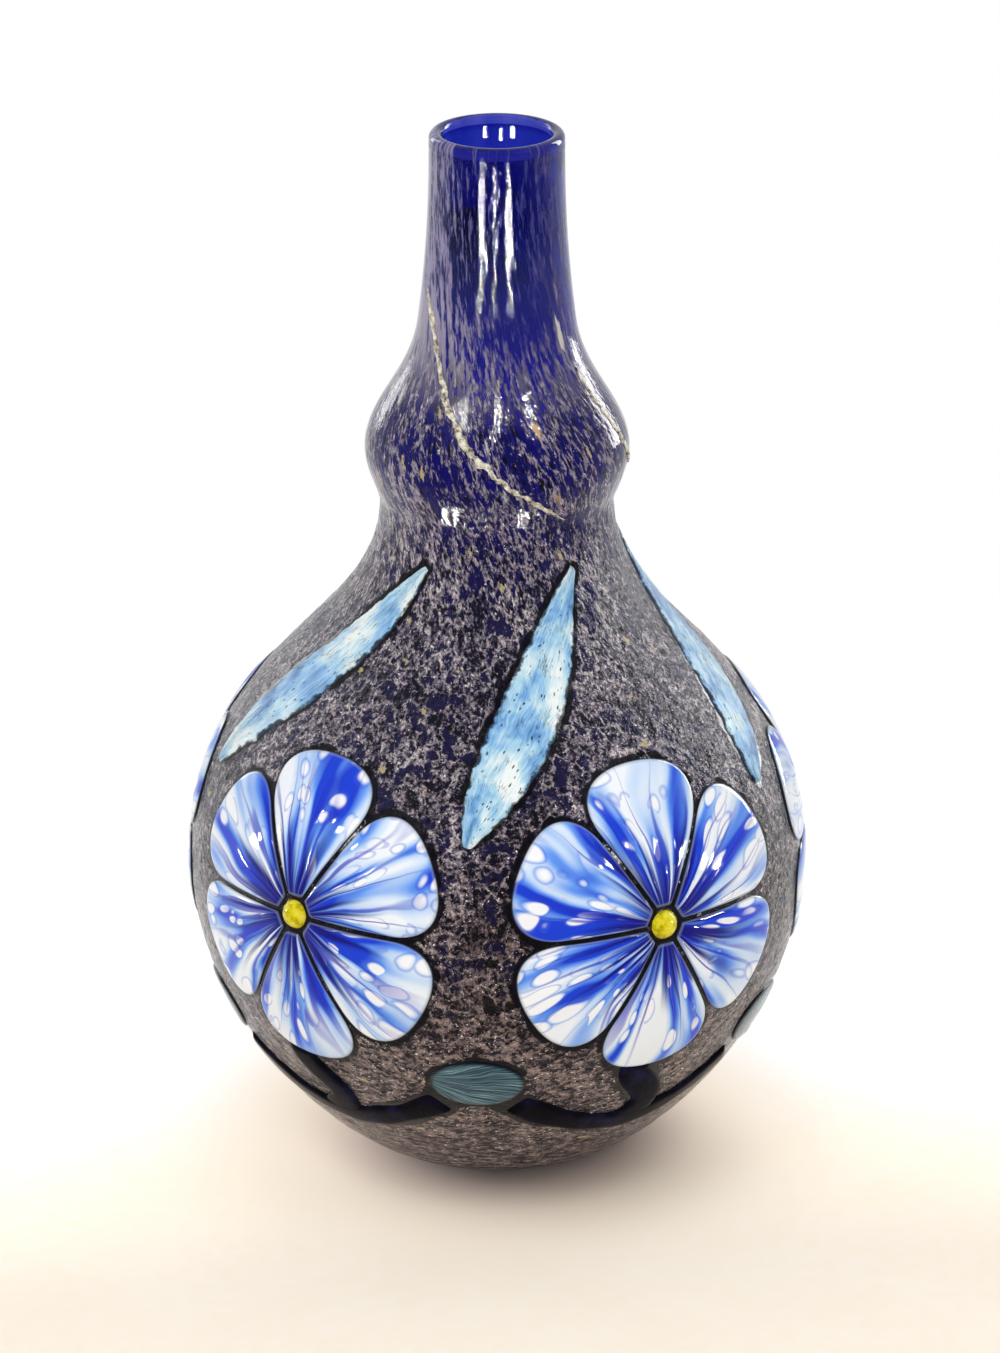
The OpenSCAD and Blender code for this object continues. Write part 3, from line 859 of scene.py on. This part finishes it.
def teal_material():
    """Teal glass combed into fine lines that fan out from one end."""
    g = Graph("teal_glass")
    comb = g.attribute("comb", "Vector")
    bent = g.warped(comb, 0.25, comb, 2.2, 2, 0.5)
    lines = g.noise(g.scaled(bent, 0.8, 30, 1), 1.4, 4, 0.6)
    tone = g.ramp(lines, [(0.3, 16, 28, 44), (0.46, 42, 66, 82), (0.58, 92, 128, 138), (0.7, 166, 200, 200)])
    tone = g.mix(g.step(g.attribute("edge"), 0.86, 0.99), tone, (10, 12, 24))
    return g.glass(tone, g.step(lines, 0.3, 0.7, 0.06, 0.16), g.bump(lines, 0.0003, 0.5), Specular_Tint=SHINE)


def leaf_material():
    """Pale silvery blue glass with fine lines along it, dark cracks and small pits."""
    g = Graph("leaf_glass")
    comb = g.attribute("comb", "Vector")
    bent = g.warped(comb, 0.22, comb, 1.6, 3, 0.6)
    lines = g.noise(g.scaled(bent, 1.4, 16, 1), 1.6, 5, 0.7)
    # Silver foil in the glass: its near-white patches are partly the foil's own colour and partly a painted
    # sheen
    shine = lines * 0.4 + g.noise(bent, 1.3, 3, 0.6) * 0.9
    tone = g.ramp(shine, [(0.47, 72, 124, 178), (0.58, 124, 178, 230), (0.68, 180, 220, 240),
                          (0.79, 244, 251, 251)])
    gate = g.noise(comb, 2.4)
    dots = g.step(g.cells(g.scaled(bent, 3.2, 5.5, 1), 2.6), 0.26, 0.14) * g.step(gate, 0.48, 0.56)
    crack = abs(g.noise(g.scaled(bent, 1, 5.5, 1), 1.5, 4, 0.65) - 0.5)
    crack = g.step(crack, 0.016, 0.004) * g.step(gate, 0.5, 0.4)
    ragged = g.noise(comb, 7, 4, 0.65)
    rim = g.step(g.attribute("edge") + (ragged - 0.5) * 0.6, 0.84, 0.96)
    dark = g.math("MAXIMUM", g.math("MAXIMUM", dots, rim), crack * 0.8)
    tone = g.mix(dark * 0.92, tone, (14, 20, 44))
    return g.glass(tone, g.step(lines, 0.3, 0.7, 0.1, 0.26), g.bump(lines - dark * 0.6, 0.0005, 0.6),
                   Specular_Tint=SOFT_SHINE)


# Body and skin

def moved_profile(arcs, offset):
    """Radius and height of the outer surface at arc lengths, moved out by offset."""
    r, z, nr, nz = (np.interp(arcs, ARC, values) for values in (RAD, HGT, OUT_R, OUT_Z))
    return r + nr * offset, z + nz * offset


def lathe_points(arcs, turns, offset):
    """Points of the moved outer surface at arc lengths and turns, row by row."""
    r, z = moved_profile(arcs[:, None], offset)
    return round_points(r, turns[None], z).reshape(-1, 3)


def height_share(arcs):
    return np.interp(arcs, ARC, HGT) / VASE_H


def grain_points(arcs, turns):
    """Where the frit's grain lies at rest: it was drawn out up the neck and round the heel."""
    z = np.interp(arcs, ARC, HGT)
    r = np.interp(arcs, ARC, RAD)
    stretch = 1 - 0.62 * smooth(HGT, *DRAWN) + 0.5 * (1 - smooth(HGT, 0, HEEL_SHORT))
    rest_z = np.concatenate([[0], np.cumsum((stretch[1:] + stretch[:-1]) / 2 * np.diff(ARC))])
    rest_r = np.where(z < BELLY_Z, r * (0.62 + 0.38 * smooth(z, 0, HEEL_LONG)), 0.6 * r + 0.4 * BELLY_R)
    spin = turns[None] + TWIST * smooth(z, *TWISTED)[:, None]
    return round_points(rest_r[:, None], spin, np.interp(arcs, ARC, rest_z)[:, None]).reshape(-1, 3)


def streaked_side(arcs, turns):
    """The streaks lie close together on one side of the neck, and leave the lip's back clear."""
    z = np.interp(arcs, ARC, HGT)[:, None]
    back = smooth(z, *BARE_BACK) * smooth(-np.cos(turns[None]), 0.1, 0.6)
    return (np.sin(-turns[None] - TWIST / 2 * smooth(z, *TWISTED) + 0.1) - 4 * back).ravel()


SKIN_FIRST, SKIN_LAST = arc_at(SKIN_FOOT_GAP), arc_at(VASE_H - SKIN_LIP_GAP)


def skin_depth(arcs):
    """The skin's thickness, thinned to a feather edge under the lip."""
    return SKIN_T * (1 - FEATHER * smooth(arcs, SKIN_LAST - FEATHER_W, SKIN_LAST))


def make_body(segments=288):
    """The blown wall: a little inside the skin, with a fire-polished lip and a flat foot."""
    turns = full_turn(segments)
    arcs = np.concatenate([
        np.linspace(0, SKIN_FIRST, 8), [SKIN_FIRST + SKIN_T + HAIRLINE],
        np.linspace(SKIN_FIRST, SKIN_LAST, WALL_ROWS)[1:-1],
        [SKIN_LAST - HAIRLINE], np.linspace(SKIN_LAST + BARE_RING, ARC[-1], 8),
    ])
    covered = (arcs > SKIN_FIRST) & (arcs < SKIN_LAST)
    outer = moved_profile(arcs, np.where(covered, -skin_depth(arcs) - HAIRLINE, 0.0))
    half = LIP_WALL / 2
    a = np.radians(np.linspace(0, 180, 14))[1:-1]
    lip = LIP_R - half + half * np.cos(a), VASE_H - half + half * np.sin(a)
    inner_arcs = np.linspace(ARC[-1], 0, WALL_ROWS)
    inner = moved_profile(inner_arcs, -wall_at(np.interp(inner_arcs, ARC, HGT)))
    r, z = np.concatenate([outer, lip, inner], axis=1)
    rows = len(r)
    verts = np.vstack([
        round_points(r[:, None], turns[None], z[:, None]).reshape(-1, 3),
        [[0, 0, 0], [0, 0, FOOT_WALL]],
    ])
    tris = np.vstack([
        cone(0, segments, len(verts) - 2, True),
        cone((rows - 1) * segments, segments, len(verts) - 1),
    ])
    all_arcs = np.concatenate([arcs, np.full(len(a), ARC[-1]), inner_arcs])
    # The streaks' coat begins just under the skin's upper edge and runs over half the lip
    coat = np.concatenate([arcs >= SKIN_LAST - 2 * HAIRLINE, 1 - smooth(np.degrees(a), 60, 120)])
    make_piece("blown_wall", "glass_body", cobalt_material(),
               verts, grid_quads(rows, segments), tris,
               frit=grain_points(all_arcs, turns), high=np.repeat(height_share(all_arcs), segments),
               side=streaked_side(all_arcs, turns), coat=np.repeat(coat, segments))


def ornament_outlines():
    """Every ornament's flat frame and outline, which the skin darkens round."""
    found = []
    for i in range(ROSETTES):
        rosette, low, leaf = rosette_place(i), trail_place(i), leaf_place(i)
        found += [(rosette, turned(PETAL_OUTLINE, petal_angle(p))) for p in range(PETALS)]
        found.append((low, ribbon_outline(trail_line(i, low, 33), TRAIL_W / 2)))
        found.append((low, ribbon_outline(stem_line(i, low, 17), STEM_W / 2)))
        found.append((oval_place(i), OVAL_OUTLINE))
        found.append((leaf, ribbon_outline(leaf_line(i, leaf, 29), leaf_halves(29))))
    return found


def distance_outside(points, outline):
    """Distance from flat points to a closed outline, zero inside it."""
    best = np.full(len(points), np.inf)
    inside = np.zeros(len(points), bool)
    for p, q in zip(outline, np.roll(outline, -1, axis=0)):
        d = q - p
        t = np.clip(((points - p) @ d) / max(d @ d, 1e-18), 0, 1)
        best = np.minimum(best, np.linalg.norm(points - p - t[:, None] * d, axis=1))
        crosses = (p[1] > points[:, 1]) != (q[1] > points[:, 1])
        with np.errstate(divide="ignore", invalid="ignore"):
            x = p[0] + (points[:, 1] - p[1]) * d[0] / d[1]
        inside ^= crosses & (points[:, 0] < x)
    return np.where(inside, 0, best)


def halo_on(points):
    """How near each point of the skin lies to an ornament: 1 at its edge, 0 from the halo's width on."""
    halo = np.zeros(len(points))
    for place, outline in ornament_outlines():
        flat = place.flatten(points)
        low, high = outline.min(0) - HALO, outline.max(0) + HALO
        this_side = np.abs((points - place.origin) @ place.out) < HALO_DEEP
        near = this_side & np.all((flat > low) & (flat < high), axis=1)
        if near.any():
            distance = distance_outside(flat[near], outline)
            halo[near] = np.maximum(halo[near], 1 - smooth(distance, 0.1 * HALO, HALO))
    return halo


def pitted(points, high):
    """Depth of the skin's lumps and pits, which die out up the neck."""
    depth = np.zeros(len(points))
    for k, p in enumerate(points):
        v = Vector(p)
        wave = noise.fractal(v * LUMPS_PER_M, 0.9, 2.1, 3)
        pit = noise.voronoi(v * PITS_PER_M)[0][0]
        depth[k] = 0.55 * wave - 0.9 * max(0.0, PIT_R - pit) / PIT_R
    return depth * (1 - 0.95 * smooth(high, 0.6, 0.78))


def make_skin(segments=400, rows=236, inner_rows=90):
    """The frit skin, with its lumps and pits in the mesh itself."""
    turns = full_turn(segments)
    arcs = np.linspace(SKIN_FIRST, SKIN_LAST, rows - 4)
    arcs = np.concatenate([
        arcs[:1], SKIN_FIRST + EDGE_RINGS, arcs[1:-1], SKIN_LAST - EDGE_RINGS[::-1], arcs[-1:],
    ])
    high = np.repeat(height_share(arcs), segments)
    rest = grain_points(arcs, turns)
    halo = halo_on(lathe_points(arcs, turns, 0))
    ends = smooth(arcs, SKIN_FIRST, SKIN_FIRST + EDGE_W) * (1 - smooth(arcs, SKIN_LAST - EDGE_W, SKIN_LAST))
    offset = LUMP * pitted(rest, high) * (1 - 0.85 * smooth(halo, 0.1, 0.7)) * np.repeat(ends, segments)
    outer = lathe_points(arcs, turns, offset.reshape(rows, segments))
    inner_arcs = np.linspace(SKIN_LAST - EDGE_RINGS[0], SKIN_FIRST + EDGE_RINGS[0], inner_rows - 2)
    inner_arcs = np.concatenate([[SKIN_LAST], inner_arcs, [SKIN_FIRST]])
    inner = lathe_points(inner_arcs, turns, -skin_depth(inner_arcs)[:, None])
    all_high = np.concatenate([high, np.repeat(height_share(inner_arcs), segments)])
    make_piece("frit_skin", "speckled_skin", skin_material(),
               np.vstack([outer, inner]), grid_quads(rows + inner_rows, segments, True), (),
               frit=rest, high=all_high, halo=halo, side=streaked_side(arcs, turns))


# Ornaments

# Shares of a dome's outline at its rings, and of a strip's half width across its top and back below
DOME_RINGS = [1.0, 0.992, 0.975, 0.95, 0.92, 0.88, 0.83, 0.77, 0.7, 0.62, 0.54, 0.46, 0.38, 0.3, 0.22, 0.14,
              0.07]
ACROSS = np.array([-1, -0.985, -0.94, -0.86, -0.72, -0.52, -0.27, 0, 0.27, 0.52, 0.72, 0.86, 0.94, 0.985, 1])
UNDER = np.array([0.6, 0, -0.6])


def nested(outline, centre, shares):
    """The outline drawn in towards a centre by each share, then the centre."""
    return np.vstack([centre + f * (outline - centre) for f in shares] + [centre[None]])


def dome(place, outline, centre, proud, seed, amount, scale):
    """A low swelling dome of glass with a rounded rim over a convex flat outline, closed underneath."""
    count = len(outline)
    shares = [1.0] + DOME_RINGS
    flat = nested(outline, centre, shares)
    heights = [-SINK] + [proud * (1 - f ** 9) ** 0.5 for f in DOME_RINGS]
    lift = np.concatenate([np.repeat(heights, count), [proud]])
    swell = [noise.noise(Vector((x * scale, y * scale, seed * 7.3))) for x, y in flat]
    lift = lift + amount * np.array(swell) * np.clip(lift / proud, 0, 1)
    under = nested(outline, centre, (0.7, 0.35))
    verts = np.vstack([place.onto(flat, lift), place.onto(under, np.full(len(under), -SINK))])
    start = len(flat)
    quads = [grid_quads(len(shares), count)]
    quads += [band(start, 0, count), band(start + count, start, count)]
    tris = [cone(start - 1 - count, count, start - 1), cone(start + count, count, len(verts) - 1, True)]
    edge = np.concatenate([np.repeat(shares, count), [0], np.ones(len(under))])
    return verts, np.vstack(quads), np.vstack(tris), np.vstack([flat, under]), edge


def polar_places(flat):
    return np.hypot(flat[:, 0], flat[:, 1]), np.arctan2(flat[:, 1], flat[:, 0])


def make_petals(glass):
    centre = np.array([[ROSETTE_R * PETAL_BEND, 0]])
    outline = even(PETAL_OUTLINE, 112)
    for i in range(ROSETTES):
        for p in range(PETALS):
            seed, angle = i * PETALS + p, petal_angle(p)
            *mesh, flat, edge = dome(rosette_place(i), turned(outline, angle), turned(centre, angle)[0],
                                     PETAL_PROUD, seed, *PETAL_SWELL)
            out, aside = polar_places(turned(flat, -angle))
            polar = np.stack([out / ROSETTE_R, aside / PETAL_HALF, np.full(len(out), seed * 3.7)], -1)
            make_piece(f"petal_{i + 1}_{p + 1}", f"rosette_{i + 1}_petal_{p + 1}", glass,
                       *mesh, polar=polar, edge=edge)


def make_beads(glass, count=40):
    outline = ellipse(BEAD_R, BEAD_R, count)
    ball = math.hypot(BEAD_R, BEAD_SINK)
    shares = np.cos(np.linspace(0, math.pi / 2, 14))[:-1]
    heights = [-SINK] + [math.sqrt(ball ** 2 - (BEAD_R * f) ** 2) - BEAD_SINK for f in shares]
    rows = len(heights)
    flat = np.vstack([nested(outline, np.zeros(2), [1.0, *shares]), np.zeros((1, 2))])
    lift = np.concatenate([np.repeat(heights, count), [ball - BEAD_SINK, -SINK]])
    tris = np.vstack([cone((rows - 1) * count, count, rows * count), cone(0, count, rows * count + 1, True)])
    for i in range(ROSETTES):
        make_piece(f"bead_{i + 1}", f"rosette_{i + 1}_bead", glass,
                   rosette_place(i).onto(flat, lift), grid_quads(rows, count), tris)


def strip(place, line, halves, proud, ends, round_power=6.0):
    """A ribbon of glass on the surface. ends is how raised each station is, from 0 to 1."""
    shares = np.concatenate([ACROSS, UNDER])
    rise = np.concatenate([(1 - np.abs(ACROSS) ** round_power) ** 0.5, np.zeros(len(UNDER))])
    flat = line[:, None] + ribbon_sides(line)[:, None] * (halves[:, None] * shares[None])[..., None]
    lift = -SINK + (proud + SINK) * rise[None] * ends[:, None]
    verts = place.onto(flat.reshape(-1, 2), lift.ravel())
    rows, ring = len(line), len(shares)
    caps = np.vstack([end_cap(0, ring, False), end_cap((rows - 1) * ring, ring, True)])
    along = np.repeat(np.linspace(0, 1, rows), ring)
    return verts, grid_quads(rows, ring), caps, along, np.tile(shares, rows)


def faded_strip(place, line, halves, proud, share, start, gone, end):
    """A strip that sinks into the skin from the share start to the share gone, and has its end just after."""
    keep = share < end
    return strip(place, line[keep], halves[keep], proud, 1 - smooth(share[keep], start, gone))[:3]


def make_trails(glass):
    """To each rosette a trail that runs in under the ovals, and a stem that runs in under the petals."""
    s, up = np.linspace(-1, 1, 97), np.linspace(0, 1, 33)
    inset = math.degrees((OVAL_W / 2 - TUCK) / radius_at(OVAL_Z)) / (STEP / 2)
    top = (ROSETTE_Z - ROSETTE_R - TRAIL_LOW_Z) / (STEM_TOP_Z - TRAIL_LOW_Z)
    stem_halves = STEM_W / 2 * (1 + 0.35 * (1 - smooth(up, 0, 0.3)))
    for i in range(ROSETTES):
        place = trail_place(i)
        halves = TRAIL_W / 2 * (1 + 0.1 * np.sin(9 * s + i) + 0.06 * np.sin(21 * s + 2 * i))
        trail = faded_strip(place, trail_line(i, place, len(s)), halves, TRAIL_PROUD, np.abs(s),
                            1 - inset * 1.12, 1 - inset * 0.92, 1 - inset * 0.9)
        make_piece(f"trail_{i + 1}", f"festoon_trail_{i + 1}", glass, *trail)
        stem = faded_strip(place, stem_line(i, place, len(up)), stem_halves, TRAIL_PROUD * 0.98, up,
                           top - 0.04, top + 0.05, top + 0.06)
        make_piece(f"stem_piece_{i + 1}", f"stem_{i + 1}", glass, *stem)


def make_ovals(glass):
    outline = even(OVAL_OUTLINE, 88)
    for i in range(ROSETTES):
        *mesh, flat, edge = dome(oval_place(i), outline, np.zeros(2), OVAL_PROUD, i, *OVAL_SWELL)
        away, turn = polar_places(flat - [-OVAL_W * 0.62, OVAL_H * 0.1])
        comb = np.stack([away / OVAL_W, turn, np.full(len(flat), i * 2.9)], -1)
        make_piece(f"oval_{i + 1}", f"festoon_oval_{i + 1}", glass, *mesh, comb=comb, edge=edge)


def uneven(s, often, seed, row, *roughness):
    """Fractal noise along a line, for ragged edges."""
    return np.array([noise.fractal(Vector((x * often, seed, row)), *roughness, 4) for x in s])


def make_leaves(glass, samples=121):
    s = np.linspace(0, 1, samples)
    ends = smooth(s, 0, 0.02) * (1 - smooth(s, 0.98, 1))
    for i in range(ROSETTES):
        place = leaf_place(i)
        halves = leaf_halves(samples) * (1 + 0.1 * uneven(s, 22, i * 5.1, 0, 0.8, 2.0)) * 0.98
        *mesh, along, across = strip(place, leaf_line(i, place, samples), halves, LEAF_PROUD, ends, 8)
        comb = np.stack([along * 4.2, across * 0.5, np.full(len(along), i * 3.3)], -1)
        make_piece(f"leaf_{i + 1}", f"shoulder_leaf_{i + 1}", glass, *mesh,
                   comb=comb, edge=np.abs(across))


def make_canes(glass, samples=320, around=10):
    """Two drawn canes, jagged and uneven, like threads pulled over a lumpy surface."""
    s = np.linspace(0, 1, samples)
    a = full_turn(around)
    lift = np.where(np.sin(a) > 0, CANE_PROUD, SINK) * np.sin(a)
    verts, quads, tris = [], [], []
    for (turn_a, share_a), (turn_b, share_b), blotch in CANES:
        turn = np.radians(turn_a + (turn_b - turn_a) * s)
        share = share_a + (share_b - share_a) * s - CANE_SAG * np.sin(math.pi * s)
        z = WAIST_Z + (NECK_Z - WAIST_Z) * share
        r = radius_at(z)
        along = np.stack([np.gradient(turn) * r, np.gradient(z)], -1)
        along /= np.linalg.norm(along, axis=1)[:, None]
        wobble = uneven(s, 24, turn_a, 0, 0.7, 2.1)
        wander = uneven(s, 17, turn_a, 9, 0.8, 2.2)
        half = CANE_W / 2 * np.sqrt(np.sin(math.pi * (s * 0.96 + 0.02)))
        half = half * np.clip(1 + 0.9 * wobble, 0.25, 1.7)
        half = half * (1 + blotch * (1 - smooth(np.abs(s - 0.07), 0.0, 0.08)))
        aside = half[:, None] * np.cos(a)[None] + WANDER * (wander * np.sin(math.pi * s))[:, None]
        turns = turn[:, None] - aside * along[:, 1:] / r[:, None]
        heights = z[:, None] + aside * along[:, :1]
        start = samples * around * len(verts)
        verts.append(round_points(radius_at(heights) + lift, turns, heights).reshape(-1, 3))
        quads.append(grid_quads(samples, around)[:, ::-1] + start)
        tris += [end_cap(start, around, True), end_cap(start + (samples - 1) * around, around, False)]
    make_piece("canes", "drawn_canes", glass, np.vstack(verts), np.vstack(quads), np.vstack(tris))


make_camera()
make_lamps()
make_world()
make_floor()
make_body()
make_skin()
make_petals(petal_material())
make_beads(clouded_material("bead_glass"))
make_trails(clouded_material("dark_glass"))
make_ovals(teal_material())
make_leaves(leaf_material())
make_canes(clouded_material("ivory_glass"))

bpy.context.scene.view_settings.view_transform = "Standard"
